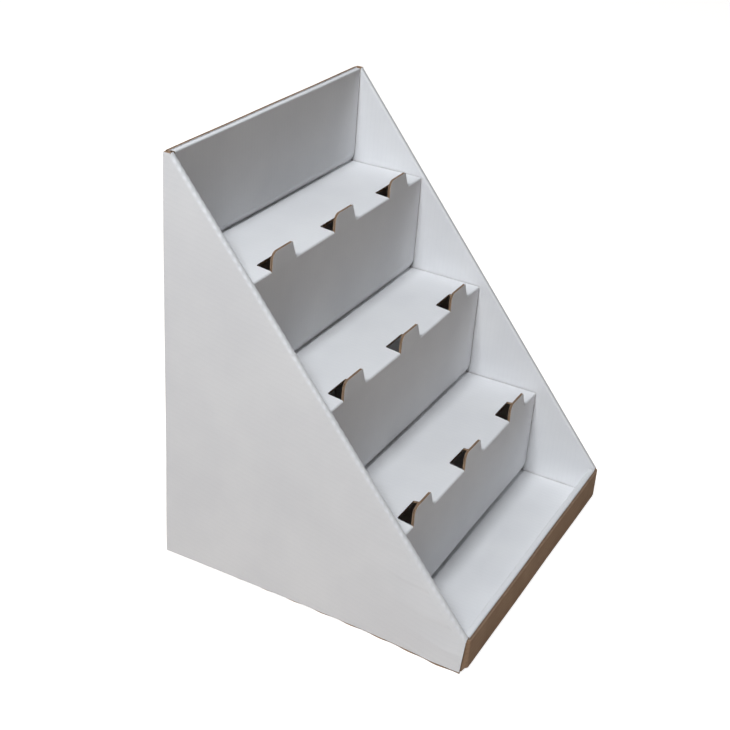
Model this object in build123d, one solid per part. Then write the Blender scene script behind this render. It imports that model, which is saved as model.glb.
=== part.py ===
"""Stepped counter display stand, folded from two sheets of corrugated board.

display_tray  base, lip, back wall and double side walls, one sheet
step_insert   three-step staircase that stands inside the tray, one sheet

Millimetres. X is the width, -Y the front with its low lip, +Z up. The origin is the middle of the footprint,
on the surface that the stand rests on.
"""
import os
from math import atan2, cos, hypot, sin, tan

from build123d import *

# ---- board -------------------------------------------------------------------------------------------------
BOARD = 1.5             # E-flute board
BEND = 0.3              # inner radius of a creased fold
PRESSED_TAB = 0.8       # corner tab, pressed flat between the two layers of a side wall

# ---- tray --------------------------------------------------------------------------------------------------
TRAY_WIDTH = 214.0      # over the outer side panels
TRAY_DEPTH = 207.0      # front of the lip to the back of the back wall
TRAY_HEIGHT = 260.0
LIP_HEIGHT = 21.5
SIDE_FLAT_TOP = 5.0     # level stretch of a side wall behind its slope
PANEL_SETBACK = 1.4     # outer side panel behind the lip's front, and ahead of the back wall's back
PANEL_LIFT = 0.7        # outer side panel above the base's underside
LIP_TAB_LENGTH = 42.0
LIP_TAB_TAPER = 9.0     # how far the lip tab's top edge drops along its length
BACK_TAB_LENGTH = 38.0
TAB_TO_SLOPE = 6.0      # glued tabs stop this far under the roll-over

# ---- step insert -------------------------------------------------------------------------------------------
SIDE_FIT = 0.7          # insert to each inner side wall
END_FIT = 0.3           # insert to the lip and to the back wall
TOP_FIT = 0.5           # hem of the back panel below the tray's top
BACK_HEM_GAP = 0.3      # between the two layers of the back panel's hem
FRONT_HEM_GAP = 0.9     # the same at the front wall, whose hem is looser
BACK_HEM_FLAP = 26.0
FRONT_HEM_FLAP = 15.0
FIRST_RISER = 51.0      # front of the lip to the lowest riser
TREAD_RUN = 50.0        # riser to riser
FIRST_RISE = 62.8       # floor panel to the lowest tread
STEP_RISE = 65.4        # tread to tread
STEPS = 3

# ---- product stops, standing on the front edge of each tread -----------------------------------------------
STOPS_PER_STEP = 3
STOP_SPACING = 70.0
STOP_BASE = 25.5
STOP_TOP = 18.5
STOP_HEIGHT = 10.2
STOP_CORNER = 1.5
CUT_WIDTH = 0.3         # knife clearance between a stop's hole and the tread

# ---- worked out from the sizes above -----------------------------------------------------------------------
SIDE_WALL = 2 * BOARD + PRESSED_TAB
INNER_FACE = TRAY_WIDTH / 2 - SIDE_WALL         # white face of an inner side wall
TAB_FACE = TRAY_WIDTH / 2 - BOARD               # outer face of the corner tabs
FRONT = -TRAY_DEPTH / 2
BACK = TRAY_DEPTH / 2
FOLD = BEND + BOARD                             # outer radius of a creased fold


def folded_section(corners):
    """Closed outline of a sheet that folds at these corners of its white face, with the board on the right.

    A left turn is a valley in the white face. A right turn wraps the white face round the outside, and two
    right turns close together make a hem.
    """
    corners = [Vector(*corner) for corner in corners]

    def right_of(heading):
        return Vector(heading.Y, -heading.X)

    face, back = [], []                         # edges along the white face and along the kraft one
    place = corners[0]
    for before, corner, after in zip(corners, corners[1:], corners[2:]):
        come, go = (corner - before).normalized(), (after - corner).normalized()
        turn = atan2(come.X * go.Y - come.Y * go.X, come.dot(go))
        if turn < 0:
            radius = min(FOLD, (corner - before).length / 2, (after - corner).length / 2)
            kraft_radius, inward = radius - BOARD, right_of(come)
        else:
            radius, kraft_radius, inward = BEND, FOLD, -right_of(come)
        reach = radius * tan(abs(turn) / 2)
        start, end = corner - come * reach, corner + go * reach
        centre = start + inward * radius
        outward = (corner - centre).normalized()
        if (start - place).length > 0.01:
            face.append(Line(place, start))
            back.append(Line(place + right_of(come) * BOARD, start + right_of(come) * BOARD))
        face.append(ThreePointArc(start, centre + outward * radius, end))
        back.append(ThreePointArc(
            start + right_of(come) * BOARD, centre + outward * kraft_radius, end + right_of(go) * BOARD))
        place = end
    last = corners[-1]
    face.append(Line(place, last))
    back.append(Line(place + right_of(go) * BOARD, last + right_of(go) * BOARD))
    first_end = Line(corners[0], corners[0] + right_of((corners[1] - corners[0]).normalized()) * BOARD)
    return make_face(Wire(face + back + [first_end, Line(last, last + right_of(go) * BOARD)]))


def across(outline, low, high):
    """Prism of a side-view outline, given as (y, z), between two places along X."""
    return extrude(Plane.YZ.offset(low) * outline, high - low)


def lengthways(outline, low, high):
    """Prism of a front-view outline, given as (x, z), between two places along Y."""
    return extrude(Plane.XZ.offset(-high) * outline, high - low)


# ---- display_tray ------------------------------------------------------------------------------------------
# The side walls' sloped crest runs from the lip's height up to the start of the level stretch at the back.
crest_front = (FRONT + PANEL_SETBACK, LIP_HEIGHT)
crest_back = (BACK - SIDE_FLAT_TOP, TRAY_HEIGHT)
slope = atan2(crest_back[1] - crest_front[1], crest_back[0] - crest_front[0])


def under_crest(y, drop):
    """Height at y of a line that lies this far under the crest, square to it."""
    return crest_front[1] + (y - crest_front[0]) * tan(slope) - drop / cos(slope)


def side_outline(y_low, y_high, z_low):
    """Side view of one layer of a side wall, up to where the roll-over starts."""
    roll = SIDE_WALL / 2
    flat = crest_back[0]
    return make_face(Polyline(
        (y_low, z_low), (y_high, z_low), (y_high, TRAY_HEIGHT), (flat, TRAY_HEIGHT),
        (flat, under_crest(flat, roll)), (y_low, under_crest(y_low, roll)), close=True))


# base and inner side walls, folded up along both sides
side_channel = lengthways(folded_section([
    (INNER_FACE, TRAY_HEIGHT), (INNER_FACE, BOARD), (-INNER_FACE, BOARD), (-INNER_FACE, TRAY_HEIGHT)][::-1]),
    FRONT + BOARD, BACK - BOARD)
side_channel &= across(side_outline(FRONT + BOARD, BACK - BOARD, 0), -TRAY_WIDTH / 2, TRAY_WIDTH / 2)

# base's folds up to the lip and to the back wall; they stop where the side folds begin
end_channel = across(folded_section([
    (FRONT + BOARD, 3 * FOLD), (FRONT + BOARD, BOARD), (BACK - BOARD, BOARD), (BACK - BOARD, 3 * FOLD)]),
    -INNER_FACE + BEND, INNER_FACE - BEND)

# lip and back wall, whose ends fold round into corner tabs between the two layers of each side wall
belt = extrude(RectangleRounded(2 * TAB_FACE, TRAY_DEPTH, FOLD)
               - Rectangle(2 * (TAB_FACE - PRESSED_TAB), TRAY_DEPTH - 2 * BOARD), TRAY_HEIGHT)
lip_outline = make_face(Polyline(
    (FRONT, FOLD), (FRONT + LIP_TAB_LENGTH, FOLD),
    (FRONT + LIP_TAB_LENGTH, LIP_HEIGHT - SIDE_WALL / 2 - LIP_TAB_TAPER),
    (FRONT + FOLD, LIP_HEIGHT - SIDE_WALL / 2), (FRONT + FOLD, LIP_HEIGHT), (FRONT, LIP_HEIGHT), close=True))
tab_front = BACK - BACK_TAB_LENGTH
back_outline = make_face(Polyline(
    (BACK, FOLD), (tab_front, FOLD + TAB_TO_SLOPE), (tab_front, under_crest(tab_front, TAB_TO_SLOPE)),
    (crest_back[0], under_crest(crest_back[0], TAB_TO_SLOPE)), (BACK - FOLD, TRAY_HEIGHT - TAB_TO_SLOPE),
    (BACK - BOARD, TRAY_HEIGHT), (BACK, TRAY_HEIGHT), close=True))
belt &= across(lip_outline, -TAB_FACE, TAB_FACE) + across(back_outline, -TAB_FACE, TAB_FACE)

# outer side panels, and the roll-over that carries each of them across the sloped crest
outer_outline = side_outline(FRONT + PANEL_SETBACK, BACK - PANEL_SETBACK, PANEL_LIFT)
roll_centre = SIDE_WALL / 2
roll_length = hypot(crest_back[0] - crest_front[0], crest_back[1] - crest_front[1])
roll_reach = Pos(0, (crest_front[0] + crest_back[0]) / 2, TRAY_HEIGHT / 2) * Box(
    TRAY_WIDTH, crest_back[0] - crest_front[0], 2 * TRAY_HEIGHT)
tray = side_channel + end_channel + belt
for side in (-1, 1):
    panel_faces = sorted((side * TAB_FACE, side * TRAY_WIDTH / 2))
    tray += across(outer_outline, *panel_faces)
    roll_start = Plane(
        origin=(side * (TRAY_WIDTH / 2 - roll_centre),
                crest_front[0] + sin(slope) * roll_centre - cos(slope) * SIDE_WALL,
                crest_front[1] - cos(slope) * roll_centre - sin(slope) * SIDE_WALL),
        x_dir=(1, 0, 0), z_dir=(0, cos(slope), sin(slope)))
    half_tube = (Circle(roll_centre) - Circle(PRESSED_TAB / 2)) & Pos(0, -SIDE_WALL) * Rectangle(
        2 * SIDE_WALL, 2 * SIDE_WALL)
    tray += extrude(roll_start * half_tube, roll_length + 2 * SIDE_WALL) & roll_reach

# ---- step_insert -------------------------------------------------------------------------------------------
floor_face = 2 * BOARD
riser_faces = [FRONT + FIRST_RISER + step * TREAD_RUN for step in range(STEPS)]
tread_faces = [floor_face + FIRST_RISE + step * STEP_RISE for step in range(STEPS)]
hem_front = FRONT + BOARD + END_FIT
hem_back = BACK - BOARD - END_FIT
front_wall = hem_front + 2 * BOARD + FRONT_HEM_GAP
back_panel = hem_back - 2 * BOARD - BACK_HEM_GAP
hem_top = TRAY_HEIGHT - TOP_FIT

stairs = [(hem_front, LIP_HEIGHT - FRONT_HEM_FLAP), (hem_front, LIP_HEIGHT), (front_wall, LIP_HEIGHT),
          (front_wall, floor_face)]
height = floor_face
for riser, tread in zip(riser_faces, tread_faces):
    stairs += [(riser, height), (riser, tread)]
    height = tread
stairs += [(back_panel, height), (back_panel, hem_top), (hem_back, hem_top),
           (hem_back, hem_top - BACK_HEM_FLAP)]
half_insert = INNER_FACE - SIDE_FIT
insert = across(folded_section(stairs), -half_insert, half_insert)


def stop_outline(height, clearance=0.0):
    """A product stop, or the hole it leaves: base line on the X axis, narrow end towards +Y."""
    sketch = make_face(Polyline(
        (-STOP_BASE / 2 - clearance, 0), (STOP_BASE / 2 + clearance, 0),
        (STOP_TOP / 2 + clearance, height), (-STOP_TOP / 2 - clearance, height), close=True))
    return fillet(sketch.vertices().sort_by(Axis.Y)[-2:], STOP_CORNER)


# A stop stands in the plane of its riser, so no fold is left across its base. Its hole in the tread starts at
# the riser's face, and is as long as the stop and the fold that it came from.
stem = Pos(0, -FOLD) * Rectangle(STOP_BASE, 2 * FOLD) + stop_outline(STOP_HEIGHT)
hole = stop_outline(STOP_HEIGHT + BOARD, CUT_WIDTH)
for riser, tread in zip(riser_faces, tread_faces):
    for place in range(STOPS_PER_STEP):
        x = (place - (STOPS_PER_STEP - 1) / 2) * STOP_SPACING
        insert -= Pos(x, riser, tread - 2 * BOARD) * extrude(hole, 4 * BOARD)
        insert += Pos(x, riser + BOARD, tread) * Rot(90, 0, 0) * extrude(stem, BOARD)

# ---- files -------------------------------------------------------------------------------------------------
os.makedirs("parts", exist_ok=True)
for name, solid in (("display_tray", tray), ("step_insert", insert)):
    export_step(solid, f"parts/{name}.step")
    print(name, len(solid.solids()), "solid,", round(solid.volume / 1000, 1), "cm3,", solid.bounding_box())
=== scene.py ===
"""Looks of a stepped counter display stand, which is folded from two sheets of corrugated board.

Metres, in the frame's axes: X is the width, -Y the front with its low lip, +Z up. Each sheet is made as the three
papers of its board, and every paper is carried along its panels, turned round its creases and cut with a knife.
"""
from collections import namedtuple
from math import asin, atan2, cos, pi, radians, sin, tan

import bmesh
import bpy
from mathutils import Matrix, Vector, noise


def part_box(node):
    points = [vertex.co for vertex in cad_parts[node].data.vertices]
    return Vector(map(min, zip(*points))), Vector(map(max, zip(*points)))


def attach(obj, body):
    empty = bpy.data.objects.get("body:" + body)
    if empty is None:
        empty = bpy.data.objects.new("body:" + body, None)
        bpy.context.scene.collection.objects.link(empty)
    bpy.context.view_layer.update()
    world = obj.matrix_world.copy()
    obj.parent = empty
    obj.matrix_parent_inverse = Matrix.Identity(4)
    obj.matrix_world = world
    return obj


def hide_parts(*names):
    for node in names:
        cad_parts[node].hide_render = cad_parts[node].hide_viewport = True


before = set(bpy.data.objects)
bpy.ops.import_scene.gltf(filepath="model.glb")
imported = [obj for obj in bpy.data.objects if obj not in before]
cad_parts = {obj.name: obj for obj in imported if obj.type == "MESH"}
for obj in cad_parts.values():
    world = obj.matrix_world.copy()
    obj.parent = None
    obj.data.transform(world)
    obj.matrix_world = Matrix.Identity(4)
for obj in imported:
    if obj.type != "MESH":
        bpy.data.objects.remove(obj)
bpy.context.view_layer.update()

# ---- display tray ------------------------------------------------------------------------------------------
# One die-cut sheet of E-flute board: a white liner and a kraft liner with a waved medium glued between them.
# It folds up into the base, the lip, the back wall and double side walls. The outer side panels roll over the
# sloped crests, so that white shows on both faces of a side wall, and the lip and the back stay kraft.

Paper = namedtuple("Paper", "name depth wave columns thickness side")
BOARD = 0.0015
LINER = 0.00022
MEDIUM = 0.00026
FLUTE = 0.0033          # flute tip to flute tip
WASHBOARD = 0.000009    # how far the liners follow the flutes
LEAD = 0.0005           # short row of the mesh on each side of a fold, which keeps its dents to the fold
DENTS = 0.00014         # how far a liner sinks between flute tips where it is bent round a fold
CREST_DENTS = 0.0005    # the same at the outer crease of a crest, which is pulled tightest
BEND = 0.0003           # inner radius of a creased fold
CREASE_NOSE = 0.0009    # radius of the white liner on the outside of a fold, where the crease draws it tight
FOLD = BOARD + BEND     # its outer radius
ROW = 0.018             # rows of the mesh along a flat panel

WHITE = Paper("white_liner", 0.0, WASHBOARD, 6, LINER, 1)
FLUTING = Paper("fluting", BOARD / 2, BOARD / 2 - LINER - MEDIUM / 2, 6, MEDIUM, 1)
KRAFT = Paper("kraft_liner", BOARD - WASHBOARD, WASHBOARD, 4, LINER, -1)

TRAY_LOW, TRAY_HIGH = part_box("display_tray")
HALF_WIDTH = TRAY_HIGH.x
HALF_DEPTH = TRAY_HIGH.y
HEIGHT = TRAY_HIGH.z
LIP_HEIGHT = 0.0215
FLAT_TOP = 0.005        # level stretch of a side wall behind its slope
PRESSED_TAB = 0.0008    # corner tab between the two layers of a side wall
ROLL = BOARD + PRESSED_TAB / 2                  # radius of the roll-over, half of a side wall
INNER_FACE = HALF_WIDTH - 2 * ROLL              # white face of an inner side wall
TAB_FACE = HALF_WIDTH - BOARD                   # kraft face of a corner tab
ROLL_SKIRT = 0.002      # the roll-over's straight part, down to where the outer panel is laid on
ROLL_RUN_ON = 0.004     # the roll-over is made this much too long at the front before it is cut
LIP_TAB = 0.042
LIP_TAB_TAPER = 0.009
BACK_TAB = 0.038
TAB_TO_SLOPE = 0.006

# outline of an outer side panel, as (y, z): it hangs a little askew from its crest
PANEL_BACK_TOP = Vector((0, HALF_DEPTH - 0.0004, HEIGHT))
PANEL_BACK_FOOT = Vector((0, HALF_DEPTH - 0.0022, 0.0007))
PANEL_FRONT_FOOT = Vector((0, 0.0023 - HALF_DEPTH, 0.0006))
PANEL_FRONT_TOP = Vector((0, 0.0019 - HALF_DEPTH, LIP_HEIGHT))
CRUSHED_FOOT = Vector((0, 0, 0.0016))   # how far the blunt cut drives back the white liner at the front foot
PANEL_FLARE = 0.0042    # the left outer panel stands off at its front foot

crest_front = Vector((0, 0.0014 - HALF_DEPTH, LIP_HEIGHT))
crest_back = Vector((0, HALF_DEPTH - FLAT_TOP, HEIGHT))
crest = (crest_back - crest_front).normalized()
crest_up = Vector((0, -crest.z, crest.y))


def first_edge(part, start, end, paper, into_board):
    """The edge that a part grows from. It lies square to the flutes, and the medium's waves through the board."""
    across = part.verts.layers.float.new("across_flutes")
    line = part.edges.new((part.verts.new(start), part.verts.new(end)))
    columns = round((end - start).length / FLUTE * paper.columns)
    bmesh.ops.subdivide_edges(part, edges=[line], cuts=columns - 1)
    for vert in part.verts:
        vert[across] = vert.co.dot((end - start).normalized())
        vert.co += into_board * (paper.depth + paper.wave * sin(2 * pi * vert[across] / FLUTE))
    return part.edges[:]


def carry(part, edges, move, rows=0):
    """Carries a part's leading edges straight on along a flat panel, in rows."""
    rows = rows or max(1, round(move.length / ROW))
    for _ in range(rows):
        grown = bmesh.ops.extrude_edge_only(part, edges=edges)["geom"]
        verts = {piece for piece in grown if isinstance(piece, bmesh.types.BMVert)}
        bmesh.ops.translate(part, verts=list(verts), vec=move / rows)
        edges = [piece for piece in grown if isinstance(piece, bmesh.types.BMEdge)
                 and piece.verts[0] in verts and piece.verts[1] in verts]
    return edges


def fold(part, edges, hinge, axis, degrees, steps, dents=0.0):
    """Turns a part's leading edges round a crease, where the paper may sink between the flute tips."""
    across = part.verts.layers.float["across_flutes"]
    known = set(part.verts)
    bent = edges + list({vert for edge in edges for vert in edge.verts})
    turned = bmesh.ops.spin(part, geom=bent, cent=hinge, axis=axis, angle=radians(degrees), steps=steps)["geom_last"]
    ends = {piece for piece in turned if isinstance(piece, bmesh.types.BMVert)}
    for vert in part.verts:
        if dents and vert not in known and vert not in ends:
            out = vert.co - hinge
            out -= axis * out.dot(axis)
            vert.co -= out.normalized() * dents * (0.5 - 0.5 * sin(2 * pi * vert[across] / FLUTE))
    return [piece for piece in turned if isinstance(piece, bmesh.types.BMEdge)]


def knife(part, faces, point, outward, clear=True):
    """Cuts faces through a point, square to the outward direction, and drops what lies beyond."""
    geom = {piece for face in faces for piece in (*face.verts, *face.edges, face)}
    cut = bmesh.ops.bisect_plane(part, geom=list(geom), dist=1e-7, plane_co=point, plane_no=outward)["geom"]
    beyond = [piece for piece in cut if clear and isinstance(piece, bmesh.types.BMFace)
              and (piece.calc_center_median() - point).dot(outward) > 0]
    bmesh.ops.delete(part, geom=beyond, context="FACES")


def left_of(start, end):
    """Direction to the left of a line in the side view, seen from +X with -Y on the left."""
    return Vector((1, 0, 0)).cross(end - start).normalized()


def trim_to_crest(part, drop, foot, level_from):
    """Trims a side panel under its crest, up to the full height over the level stretch at the back."""
    panel = [face for face in part.faces if face.calc_center_median().z > foot]
    knife(part, panel, Vector((0, level_from, 0)), Vector((0, 1, 0)), clear=False)
    panel = [face for face in part.faces if face.calc_center_median().z > foot]
    sloping = [face for face in panel if face.calc_center_median().y < level_from]
    level = [face for face in panel if face.calc_center_median().y > level_from]
    knife(part, sloping, crest_front - crest_up * drop, crest_up)
    knife(part, level, crest_back, Vector((0, 0, 1)))


def side_channel(paper):
    """Half of the base, an inner side wall, and the roll-over that carries the sheet across the crest."""
    part = bmesh.new()
    end = HALF_DEPTH - BOARD
    edges = first_edge(part, Vector((0, -end - ROLL_RUN_ON, BOARD)), Vector((0, end, BOARD)), paper, Vector((0, 0, -1)))
    edges = carry(part, edges, Vector((INNER_FACE - BEND, 0, 0)))
    edges = fold(part, edges, Vector((INNER_FACE - BEND, 0, FOLD)), Vector((0, -1, 0)), 90, 4)
    carry(part, edges, Vector((0, 0, HEIGHT - FOLD)))
    trim_to_crest(part, ROLL + LEAD, FOLD, crest_back.y + (ROLL + LEAD) / crest.z)
    line = crest_front - crest_up * (ROLL + LEAD)
    rim = [edge for edge in part.edges if edge.is_boundary and abs(edge.verts[0].co.y - edge.verts[1].co.y) > 1e-7
           and all(abs((vert.co - line).dot(crest_up)) < 1e-6 for vert in edge.verts)]
    wall = set(part.faces)
    rim = carry(part, rim, crest_up * LEAD)
    hinge = Vector((HALF_WIDTH - ROLL, line.y, line.z)) + crest_up * LEAD
    if paper is WHITE:
        drop = crest_up * (ROLL - CREASE_NOSE)
        shift = Vector((ROLL - CREASE_NOSE, 0, 0))
        edges = carry(part, rim, drop)
        edges = fold(part, edges, hinge - shift + drop, crest, 90, 5, DENTS)
        edges = carry(part, edges, 2 * shift, rows=2)
        edges = fold(part, edges, hinge + shift + drop, crest, 90, 5, CREST_DENTS)
        edges = carry(part, edges, -drop)
    else:
        edges = fold(part, rim, hinge, crest, 180, 10)
    carry(part, edges, -crest_up * ROLL_SKIRT, rows=2)
    knife(part, [face for face in part.faces if face not in wall], crest_back, Vector((0, 1, 0)))
    knife(part, [face for face in part.faces if face not in wall], PANEL_FRONT_TOP,
          left_of(PANEL_FRONT_FOOT, PANEL_FRONT_TOP))
    knife(part, [face for face in part.faces if face in wall], Vector((0, -end, 0)), Vector((0, -1, 0)))
    return part


def outer_panel(paper):
    """An outer side panel. The roll-over mirrors its flutes across the crest, so they run nearly level."""
    part = bmesh.new()
    lean = 2 * atan2(crest.z, crest.y)
    along = Vector((0, sin(lean), -cos(lean)))
    rise = Vector((0, cos(lean), sin(lean)))
    start = Vector((HALF_WIDTH, HALF_DEPTH, 0)) + along * (HEIGHT * along.z) - rise * FOLD
    edges = first_edge(part, start, start + rise * (HEIGHT + FOLD), paper, Vector((-1, 0, 0)))
    carry(part, edges, -along * (2 * HALF_DEPTH + HEIGHT * along.z))
    foot = PANEL_FRONT_FOOT + (CRUSHED_FOOT if paper is WHITE else Vector())
    for begin, finish in ((PANEL_BACK_FOOT, foot), (PANEL_FRONT_FOOT, PANEL_FRONT_TOP),
                          (PANEL_BACK_TOP, PANEL_BACK_FOOT)):
        knife(part, part.faces[:], begin, left_of(begin, finish))
    trim_to_crest(part, ROLL + ROLL_SKIRT, 0, crest_back.y)
    return part


def end_wall(paper, end, top, tab_length, tab_cuts):
    """Half of the lip (end is -1) or of the back wall (end is 1), with its corner tab and its fold to the base."""
    part = bmesh.new()
    start = Vector((0, end * (HALF_DEPTH - BOARD), FOLD))
    edges = first_edge(part, start, Vector((0, start.y, top)), paper, Vector((0, end, 0)))
    edges = carry(part, edges, Vector((INNER_FACE - BEND, 0, 0)))
    edges = carry(part, edges, Vector((TAB_FACE - FOLD - INNER_FACE + BEND, 0, 0)))
    corner = end * (HALF_DEPTH - FOLD)
    edges = fold(part, edges, Vector((TAB_FACE - FOLD, corner, 0)), Vector((0, 0, -end)), 90, 4)
    carry(part, edges, Vector((0, end * (FOLD - tab_length), 0)))
    for begin, finish in tab_cuts:
        tab = [face for face in part.faces if abs(face.calc_center_median().y) < abs(corner)]
        knife(part, tab, begin, left_of(begin, finish))
    pressed = [vert for vert in part.verts if abs(vert.co.y) < abs(corner) - BEND]
    bmesh.ops.scale(part, verts=pressed, vec=(PRESSED_TAB / BOARD, 1, 1),
                    space=Matrix.Translation((-TAB_FACE, 0, 0)))
    foot = [edge for edge in part.edges if edge.is_boundary
            and all(abs(vert.co.z - FOLD) < 1e-6 and vert.co.x < INNER_FACE - BEND + 1e-6 for vert in edge.verts)
            and abs(edge.verts[0].co.x - edge.verts[1].co.x) > 1e-6]
    fold(part, foot, Vector((0, corner, FOLD)), Vector((-end, 0, 0)), 90, 4)
    return part


def add_part(sheet, part, white_side, paper, copies=(1,)):
    """Joins a part to its sheet, turned so that the paper's own face is outward, and mirrored where asked."""
    bmesh.ops.recalc_face_normals(part, faces=part.faces)
    middle = min(part.faces, key=lambda face: abs(face.calc_center_median().x))
    if middle.normal.dot(white_side) * paper.side < 0:
        bmesh.ops.reverse_faces(part, faces=part.faces)
    for side in copies:
        if side < 0:
            bmesh.ops.scale(part, verts=part.verts, vec=(-1, 1, 1))
            bmesh.ops.reverse_faces(part, faces=part.faces)
        carried = bpy.data.meshes.new("part")
        part.to_mesh(carried)
        sheet.from_mesh(carried)
        bpy.data.meshes.remove(carried)
    part.free()


BOW = 0.0004            # how far folded board is from flat
BOW_LENGTH = 0.075


def settle(sheet):
    """Lets every panel bow a little, alike in all the papers of the board."""
    for vert in sheet.verts:
        bow = noise.noise_vector(vert.co / BOW_LENGTH) * BOW
        vert.co += Vector((bow.x * 0.6, bow.y, bow.z * min(1, max(0, vert.co.z / BOW_LENGTH))))


def flare(sheet):
    """Springs the left outer panel off its corner tab, most of all at its front foot."""
    for vert in sheet.verts:
        if vert.co.x < -TAB_FACE + 1e-5:
            under = (crest_front - vert.co).dot(crest_up)
            loose = min(1, max(0, under / 0.014))
            forward = min(1, max(0, (0.02 - vert.co.y) / HALF_DEPTH))
            vert.co.x -= PANEL_FLARE * loose * (0.1 + 0.9 * forward ** 3)


def paper_object(sheet, name, paper, materials):
    """Makes a folded paper an object with its real thickness. Its cut edges and its inside are the raw paper."""
    bmesh.ops.remove_doubles(sheet, verts=sheet.verts, dist=2e-6)
    for face in sheet.faces:
        face.smooth = True
    for edge in sheet.edges:
        edge.smooth = not edge.is_boundary
    mesh = bpy.data.meshes.new(name)
    sheet.to_mesh(mesh)
    sheet.free()
    piece = bpy.data.objects.new(name, mesh)
    bpy.context.collection.objects.link(piece)
    for material in materials:
        mesh.materials.append(material)
    wall = piece.modifiers.new("paper", "SOLIDIFY")
    wall.thickness = paper.thickness
    wall.offset = 0 if paper is FLUTING else -1
    wall.material_offset = len(materials) - 1
    wall.material_offset_rim = len(materials) - 1
    return piece


def tray_paper(paper):
    """One paper of the tray's sheet, folded up."""
    sheet = bmesh.new()
    add_part(sheet, side_channel(paper), Vector((0, 0, 1)), paper, (1, -1))
    add_part(sheet, outer_panel(paper), Vector((1, 0, 0)), paper, (1, -1))
    under_roll = LIP_HEIGHT - ROLL
    lip_tab_top = [(Vector((0, FOLD + LIP_TAB - HALF_DEPTH, under_roll - LIP_TAB_TAPER)),
                    Vector((0, FOLD - HALF_DEPTH, under_roll)))[::-1]]
    add_part(sheet, end_wall(paper, -1, LIP_HEIGHT, LIP_TAB, lip_tab_top), Vector((0, 1, 0)), paper, (1, -1))
    back_corner = Vector((0, HALF_DEPTH - FOLD, HEIGHT - TAB_TO_SLOPE))
    under_crest = crest_back - crest_up * TAB_TO_SLOPE
    back_tab_cuts = [(under_crest - crest, under_crest), (under_crest, back_corner),
                     (Vector((0, HALF_DEPTH, FOLD)), Vector((0, HALF_DEPTH - BACK_TAB, FOLD + TAB_TO_SLOPE)))]
    add_part(sheet, end_wall(paper, 1, HEIGHT, BACK_TAB, back_tab_cuts), Vector((0, -1, 0)), paper, (1, -1))
    settle(sheet)
    flare(sheet)
    return sheet


def board_effects():
    """Shader group for anything made of board: soft clouds, paper fibres and the glue lines over the flute tips."""
    group = bpy.data.node_groups.new("board_effects", "ShaderNodeTree")
    group.interface.new_socket("Cloud Scale", in_out="INPUT", socket_type="NodeSocketFloat")
    group.interface.new_socket("Fibre Scale", in_out="INPUT", socket_type="NodeSocketFloat")
    group.interface.new_socket("Fibre Height", in_out="INPUT", socket_type="NodeSocketFloat")
    group.interface.new_socket("Clouds", in_out="OUTPUT", socket_type="NodeSocketFloat")
    group.interface.new_socket("Fibres", in_out="OUTPUT", socket_type="NodeSocketFloat")
    group.interface.new_socket("Glue Lines", in_out="OUTPUT", socket_type="NodeSocketFloat")
    group.interface.new_socket("Height", in_out="OUTPUT", socket_type="NodeSocketFloat")
    nodes, links = group.nodes, group.links
    given, made = nodes.new("NodeGroupInput"), nodes.new("NodeGroupOutput")
    place = nodes.new("ShaderNodeTexCoord")

    clouds = nodes.new("ShaderNodeTexNoise")
    clouds.inputs["Detail"].default_value = 4
    links.new(place.outputs["Object"], clouds.inputs["Vector"])
    links.new(given.outputs["Cloud Scale"], clouds.inputs["Scale"])
    links.new(clouds.outputs["Fac"], made.inputs["Clouds"])

    fibres = nodes.new("ShaderNodeTexNoise")
    fibres.inputs["Detail"].default_value = 6
    fibres.inputs["Roughness"].default_value = 0.65
    fibres.inputs["Distortion"].default_value = 1.5
    links.new(place.outputs["Object"], fibres.inputs["Vector"])
    links.new(given.outputs["Fibre Scale"], fibres.inputs["Scale"])
    links.new(fibres.outputs["Fac"], made.inputs["Fibres"])

    across = nodes.new("ShaderNodeAttribute")
    across.attribute_name = "across_flutes"
    phase = nodes.new("ShaderNodeMath")
    phase.operation = "MULTIPLY"
    phase.inputs[1].default_value = 2 * pi / FLUTE
    wave = nodes.new("ShaderNodeMath")
    wave.operation = "SINE"
    line = nodes.new("ShaderNodeMapRange")
    line.inputs["From Min"].default_value = -0.4
    line.inputs["From Max"].default_value = -1.0
    links.new(across.outputs["Fac"], phase.inputs[0])
    links.new(phase.outputs[0], wave.inputs[0])
    links.new(wave.outputs[0], line.inputs["Value"])
    links.new(line.outputs["Result"], made.inputs["Glue Lines"])

    height = nodes.new("ShaderNodeMath")
    height.operation = "MULTIPLY"
    links.new(fibres.outputs["Fac"], height.inputs[0])
    links.new(given.outputs["Fibre Height"], height.inputs[1])
    links.new(height.outputs[0], made.inputs["Height"])
    return group


board_group = board_effects()


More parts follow.
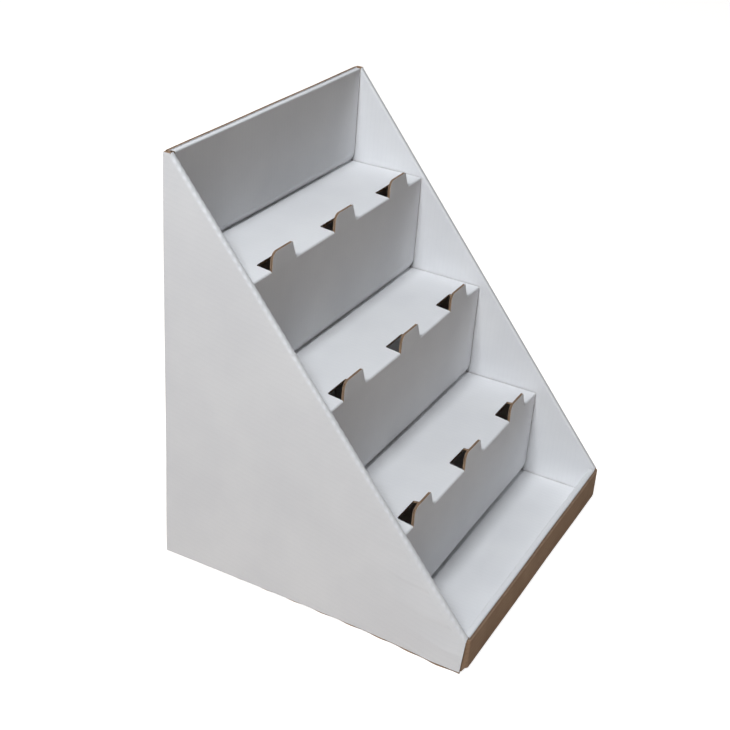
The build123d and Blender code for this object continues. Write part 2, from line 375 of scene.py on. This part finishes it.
def board_material(name, light, dark, fibre_colour, fibre_share, line_share, cloud_scale, fibre_scale, fibre_height,
                   roughness):
    """A paper face: two shades in soft clouds, darker fibres in it, and faint lines where it is glued to the flutes."""
    material = bpy.data.materials.new(name)
    material.use_nodes = True
    nodes, links = material.node_tree.nodes, material.node_tree.links
    surface = nodes["Principled BSDF"]
    surface.inputs["Specular IOR Level"].default_value = 0.35
    effects = nodes.new("ShaderNodeGroup")
    effects.node_tree = board_group
    effects.inputs["Cloud Scale"].default_value = cloud_scale
    effects.inputs["Fibre Scale"].default_value = fibre_scale
    effects.inputs["Fibre Height"].default_value = fibre_height

    shades = nodes.new("ShaderNodeValToRGB")
    shades.color_ramp.elements[0].position = 0.36
    shades.color_ramp.elements[0].color = (*dark, 1)
    shades.color_ramp.elements[1].position = 0.64
    shades.color_ramp.elements[1].color = (*light, 1)
    links.new(effects.outputs["Clouds"], shades.inputs["Fac"])

    fibre_mask = nodes.new("ShaderNodeMapRange")
    fibre_mask.inputs["From Min"].default_value = 0.52
    fibre_mask.inputs["From Max"].default_value = 0.74
    fibre_mask.inputs["To Max"].default_value = fibre_share
    links.new(effects.outputs["Fibres"], fibre_mask.inputs["Value"])
    fibred = nodes.new("ShaderNodeMix")
    fibred.data_type = "RGBA"
    fibred.inputs["B"].default_value = (*fibre_colour, 1)
    fibred.inputs[7].default_value = (*fibre_colour, 1)
    links.new(fibre_mask.outputs["Result"], fibred.inputs[0])
    links.new(shades.outputs["Color"], fibred.inputs[6])

    line_mask = nodes.new("ShaderNodeMath")
    line_mask.operation = "MULTIPLY"
    line_mask.inputs[1].default_value = line_share
    links.new(effects.outputs["Glue Lines"], line_mask.inputs[0])
    lined = nodes.new("ShaderNodeMix")
    lined.data_type = "RGBA"
    lined.inputs[7].default_value = (*fibre_colour, 1)
    links.new(line_mask.outputs[0], lined.inputs[0])
    links.new(fibred.outputs[2], lined.inputs[6])
    links.new(lined.outputs[2], surface.inputs["Base Color"])

    sheen = nodes.new("ShaderNodeMapRange")
    sheen.inputs["To Min"].default_value = roughness - 0.06
    sheen.inputs["To Max"].default_value = roughness + 0.06
    links.new(effects.outputs["Fibres"], sheen.inputs["Value"])
    links.new(sheen.outputs["Result"], surface.inputs["Roughness"])

    relief = nodes.new("ShaderNodeBump")
    relief.inputs["Distance"].default_value = 1.0
    links.new(effects.outputs["Height"], relief.inputs["Height"])
    links.new(relief.outputs["Normal"], surface.inputs["Normal"])
    return material


white_paper = board_material(
    "white_paper", light=(0.80, 0.805, 0.815), dark=(0.765, 0.77, 0.785), fibre_colour=(0.60, 0.61, 0.63),
    fibre_share=0.10, line_share=0.05, cloud_scale=26, fibre_scale=1500, fibre_height=0.00001, roughness=0.52)
kraft_paper = board_material(
    "kraft_paper", light=(0.42, 0.275, 0.175), dark=(0.35, 0.225, 0.14), fibre_colour=(0.16, 0.10, 0.06),
    fibre_share=0.45, line_share=0.18, cloud_scale=40, fibre_scale=1300, fibre_height=0.00003, roughness=0.78)
raw_paper = board_material(
    "raw_paper_edge", light=(0.47, 0.32, 0.22), dark=(0.37, 0.25, 0.165), fibre_colour=(0.18, 0.11, 0.065),
    fibre_share=0.5, line_share=0.0, cloud_scale=300, fibre_scale=3000, fibre_height=0.00004, roughness=0.88)

PAPER_SIDES = {WHITE: (white_paper, raw_paper), FLUTING: (raw_paper,), KRAFT: (kraft_paper, raw_paper)}
for paper, sides in PAPER_SIDES.items():
    piece = paper_object(tray_paper(paper), f"display_tray_{paper.name}", paper, sides)
    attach(piece, "root")
    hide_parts("display_tray")

# ---- step insert -------------------------------------------------------------------------------------------
# The second sheet of the same board, folded into a staircase that is dropped into the tray and glued nowhere.
# Its ends are doubled back behind the lip and behind the back panel as hems, which stiffen the raw edges.

INSERT_LOW, INSERT_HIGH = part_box("step_insert")
HALF_INSERT = INSERT_HIGH.x
FRONT_HEM_GAP = 0.0009
BACK_HEM_GAP = 0.0003
BACK_HEM_RISE = 0.0004  # the back hem springs up level with the back wall
FRONT_HEM_FLAP = 0.015
BACK_HEM_FLAP = 0.026
FIRST_RISER = 0.051     # front of the lip to the lowest riser
TREAD_RUN = 0.050
FIRST_RISE = 0.0628
STEP_RISE = 0.0654
STEPS = 3

FOOT_TUCK = 0.0028      # how far a riser's foot is drawn in under its tread's plane at the crease
FOOT_HEIGHT = 0.0075

risers = [FIRST_RISER - HALF_DEPTH + step * TREAD_RUN for step in range(STEPS)]
treads = [2 * BOARD + FIRST_RISE + step * STEP_RISE for step in range(STEPS)]


def staircase():
    """Corners of the sheet's white face, as (y, z), from the front hem's end to the back hem's end."""
    front, back, top = INSERT_LOW.y, INSERT_HIGH.y, INSERT_HIGH.z + BACK_HEM_RISE
    wall = front + 2 * BOARD + FRONT_HEM_GAP
    panel = back - 2 * BOARD - BACK_HEM_GAP
    height = 2 * BOARD
    corners = [(front, LIP_HEIGHT - FRONT_HEM_FLAP), (front, LIP_HEIGHT), (wall, LIP_HEIGHT), (wall, height)]
    for riser, tread in zip(risers, treads):
        corners += [(riser, height), (riser, tread)]
        height = tread
    corners += [(panel, height), (panel, top), (back, top), (back, top - BACK_HEM_FLAP)]
    return [Vector((0, y, z)) for y, z in corners]


def nose_radius(paper, panel=STEP_RISE):
    """Radius of an outside fold, which is drawn tight in the white liner and smaller still in a hem."""
    if paper is WHITE:
        return min(CREASE_NOSE, panel / 6)
    return min(FOLD, panel / 2)


def fold_staircase(paper):
    """Folds one paper at every corner of the staircase: a left turn is a valley, a right turn wraps the board."""
    part = bmesh.new()
    corners = staircase()
    heading = (corners[1] - corners[0]).normalized()
    right = heading.cross(Vector((1, 0, 0)))
    reach = Vector((HALF_INSERT, 0, 0))
    edges = first_edge(part, corners[0] - reach, corners[0] + reach, paper, right)
    place = corners[0]
    for before, corner, after in zip(corners, corners[1:], corners[2:]):
        come, go = (corner - before).normalized(), (after - corner).normalized()
        turn = come.cross(go).x
        if turn < 0:
            radius, dents = nose_radius(paper, min((corner - before).length, (after - corner).length)), DENTS
        else:
            radius, dents = BEND, 0.0
        edges = carry(part, edges, corner - come * (radius + LEAD) - place)
        edges = carry(part, edges, come * LEAD)
        hinge = corner - come * radius + go * radius
        edges = fold(part, edges, hinge, Vector((1 if turn > 0 else -1, 0, 0)), 90, 4,
                     dents if paper is WHITE else 0.0)
        edges = carry(part, edges, go * LEAD)
        place = corner + go * (radius + LEAD)
        if turn > 0 and go.z > 0:
            edges = carry(part, edges, go * FOOT_HEIGHT, rows=3)
            place += go * FOOT_HEIGHT
    carry(part, edges, corners[-1] - place)
    return part


def tuck_feet(part):
    """Draws the foot of every riser back, where the crease pulls the board in."""
    for riser, foot in zip(risers + [INSERT_HIGH.y - 2 * BOARD - BACK_HEM_GAP], [2 * BOARD] + treads):
        for vert in part.verts:
            above, ahead = vert.co.z - foot, riser - vert.co.y
            if -2 * BOARD < above < FOOT_HEIGHT and abs(ahead) < 2 * BOARD:
                fade = 1 - max(0, above) / FOOT_HEIGHT
                vert.co.y += FOOT_TUCK * fade ** 2 * (1 - max(0, ahead) / (2 * BOARD))


# ---- product stops -----------------------------------------------------------------------------------------
# Nine tabs, three to a tread, cut from the tread and left standing in the plane of the riser when the fold is
# made. They keep goods from sliding off, and leave a hole of their own shape behind them.

STOPS_PER_STEP = 3
STOP_SPACING = 0.070
STOP_BASE = 0.0255
STOP_HEIGHT = 0.0102
STOP_LEFT_TAPER = 0.0020
STOP_RIGHT_TAPER = 0.0030
STOP_ROUND = 0.0055     # big radius at one shoulder
STOP_NICK = 0.0006      # small one at the other
HOLE_ROUND = 0.0015     # the hole's corner there, which tears sharper
CUT_WIDTH = 0.0003
STOP_LEAN = 5           # degrees, back over the hole

stop_places = [(place - (STOPS_PER_STEP - 1) / 2) * STOP_SPACING for place in range(STOPS_PER_STEP)]


def stop_sides(height, clearance, shoulder):
    """A stop's outline as knife cuts (point, outward), in its own plane: u across, w up, base on the u axis."""
    cuts = []
    for way, taper, radius in ((-1, STOP_LEFT_TAPER, shoulder), (1, STOP_RIGHT_TAPER, STOP_NICK)):
        base = Vector((way * (STOP_BASE / 2 + clearance), 0))
        side = Vector((way * height, taper)).normalized()
        cuts.append((base, side))
        centre_w = height - radius
        centre_u = base.x - (radius + (centre_w - base.y) * side.y) / side.x
        centre = Vector((centre_u, centre_w))
        steps = 5
        tilt = atan2(side.y, side.x * way)
        for step in range(1, steps):
            angle = tilt + (pi / 2 - tilt) * step / steps
            normal = Vector((way * cos(angle), sin(angle)))
            cuts.append((centre + normal * radius, normal))
    cuts.append((Vector((0, height)), Vector((0, 1))))
    return cuts


def cut_stop(part, paper, x, riser, tread):
    """Cuts one hole, then raises its stop from the top of the riser."""
    top = tread - nose_radius(paper)
    hole = [(Vector((x + u, riser + w, 0)), Vector((a, b, 0))) for (u, w), (a, b) in
            stop_sides(STOP_HEIGHT + BOARD, CUT_WIDTH, HOLE_ROUND)]

    def around():
        found = []
        for face in part.faces:
            spot = face.calc_center_median()
            if abs(spot.x - x) < STOP_BASE and -FOLD < spot.y - riser < 2 * STOP_HEIGHT and -1e-5 < spot.z - top < 2 * FOLD:
                found.append(face)
        return found

    for point, outward in hole:
        knife(part, around(), point, outward, clear=False)
    inside = [face for face in around()
              if all((face.calc_center_median() - point).dot(outward) < 0 for point, outward in hole)]
    bmesh.ops.delete(part, geom=inside, context="FACES")

    hem = STOP_BASE / 2 + CUT_WIDTH + 1e-5
    rim = [edge for edge in part.edges if edge.is_boundary and all(
        abs(vert.co.z - top) < 1e-6 and abs(vert.co.x - x) < hem and riser - FOLD < vert.co.y < riser + 2 * FOLD
        for vert in edge.verts)]
    before = set(part.faces)
    known = set(part.verts)
    carry(part, rim, Vector((0, 0, tread - top + STOP_HEIGHT + BOARD)))
    for (u, w), (a, b) in stop_sides(STOP_HEIGHT, 0.0, STOP_ROUND):
        knife(part, [face for face in part.faces if face not in before], Vector((x + u, 0, tread + w)),
              Vector((a, 0, b)))
    raised = [vert for vert in part.verts if vert not in known and vert.co.z > top + 1e-6
              and any(face not in before for face in vert.link_faces)]
    bmesh.ops.rotate(part, verts=raised, cent=Vector((x, riser + BOARD / 2, top)),
                     matrix=Matrix.Rotation(radians(-STOP_LEAN), 3, "X"))


for paper, sides in PAPER_SIDES.items():
    part = fold_staircase(paper)
    bmesh.ops.recalc_face_normals(part, faces=part.faces)
    for riser, tread in zip(risers, treads):
        for x in stop_places:
            cut_stop(part, paper, x, riser, tread)
    tuck_feet(part)
    sheet = bmesh.new()
    bmesh.ops.recalc_face_normals(part, faces=part.faces)
    floor_face = min(part.faces, key=lambda face: (face.calc_center_median() - Vector((0, -0.08, 2 * BOARD))).length)
    if floor_face.normal.z * paper.side < 0:
        bmesh.ops.reverse_faces(part, faces=part.faces)
    carried = bpy.data.meshes.new("part")
    part.to_mesh(carried)
    sheet.from_mesh(carried)
    part.free()
    settle(sheet)
    piece = paper_object(sheet, f"step_insert_{paper.name}", paper, sides)
    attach(piece, "root")
    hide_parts("step_insert")

# ---- studio ------------------------------------------------------------------------------------------------
# A plain pale floor, a large soft light high on the left and a little behind, and a camera in front, to the left
# and above, as a person at the counter sees the stand.

FLOOR_SIZE = 6.0
floor_sheet = bmesh.new()
bmesh.ops.create_grid(floor_sheet, x_segments=8, y_segments=8, size=FLOOR_SIZE / 2)
floor_mesh = bpy.data.meshes.new("floor")
floor_sheet.to_mesh(floor_mesh)
floor_sheet.free()
floor = bpy.data.objects.new("floor", floor_mesh)
bpy.context.collection.objects.link(floor)
floor_paint = bpy.data.materials.new("studio_floor")
floor_paint.use_nodes = True
floor_paint.node_tree.nodes["Principled BSDF"].inputs["Base Color"].default_value = (0.62, 0.55, 0.49, 1)
floor_paint.node_tree.nodes["Principled BSDF"].inputs["Roughness"].default_value = 0.8
glow = floor_paint.node_tree.nodes.new("ShaderNodeLightPath")
brighten = floor_paint.node_tree.nodes.new("ShaderNodeMath")
brighten.operation = "MULTIPLY"
brighten.inputs[1].default_value = 0.9
floor_paint.node_tree.links.new(glow.outputs["Is Camera Ray"], brighten.inputs[0])
floor_paint.node_tree.nodes["Principled BSDF"].inputs["Emission Color"].default_value = (1, 1, 1, 1)
floor_paint.node_tree.links.new(brighten.outputs[0],
                                floor_paint.node_tree.nodes["Principled BSDF"].inputs["Emission Strength"])
floor_mesh.materials.append(floor_paint)

world = bpy.data.worlds.new("studio")
world.use_nodes = True
world.node_tree.nodes["Background"].inputs["Color"].default_value = (1.0, 0.95, 0.91, 1)
seen = world.node_tree.nodes.new("ShaderNodeLightPath")
backdrop = world.node_tree.nodes.new("ShaderNodeMath")
backdrop.operation = "MULTIPLY_ADD"
backdrop.inputs[1].default_value = 0.9
backdrop.inputs[2].default_value = 0.04
world.node_tree.links.new(seen.outputs["Is Camera Ray"], backdrop.inputs[0])
world.node_tree.links.new(backdrop.outputs[0], world.node_tree.nodes["Background"].inputs["Strength"])
bpy.context.scene.world = world

MIDDLE = Vector((0, 0, HEIGHT / 2))


def soft_light(name, place, size, power, colour):
    """A square softbox that faces the middle of the stand."""
    lamp = bpy.data.lights.new(name, "AREA")
    lamp.shape = "SQUARE"
    lamp.size = size
    lamp.energy = power
    lamp.color = colour
    box = bpy.data.objects.new(name, lamp)
    box.location = place
    box.rotation_euler = (MIDDLE - place).to_track_quat("-Z", "Y").to_euler()
    box.visible_camera = False
    bpy.context.collection.objects.link(box)


soft_light("key", Vector((-1.02, 0.04, 1.50)), 0.35, 25.4, (0.935, 0.965, 1.0))
soft_light("top_back", Vector((0.15, 0.75, 1.30)), 1.0, 4.0, (0.925, 0.965, 1.0))
soft_light("front_fill", Vector((0.05, -0.55, 0.10)), 0.3, 0.30, (0.93, 0.95, 1.0))

LOOK_AT = Vector((0, 0.0273, 0.1077))
CAMERA_PLACE = Vector((-0.6478, -0.2940, 0.4995))
CAMERA_ROLL = 4.49     # degrees
camera = bpy.data.objects.new("camera", bpy.data.cameras.new("camera"))
camera.data.lens = 64.8
camera.data.sensor_width = 36
camera.location = CAMERA_PLACE
aim = (LOOK_AT - CAMERA_PLACE).to_track_quat("-Z", "Y").to_matrix()
camera.rotation_euler = (aim @ Matrix.Rotation(radians(CAMERA_ROLL), 3, "Z")).to_euler()
bpy.context.collection.objects.link(camera)
bpy.context.scene.camera = camera
bpy.context.scene.view_settings.view_transform = "Standard"
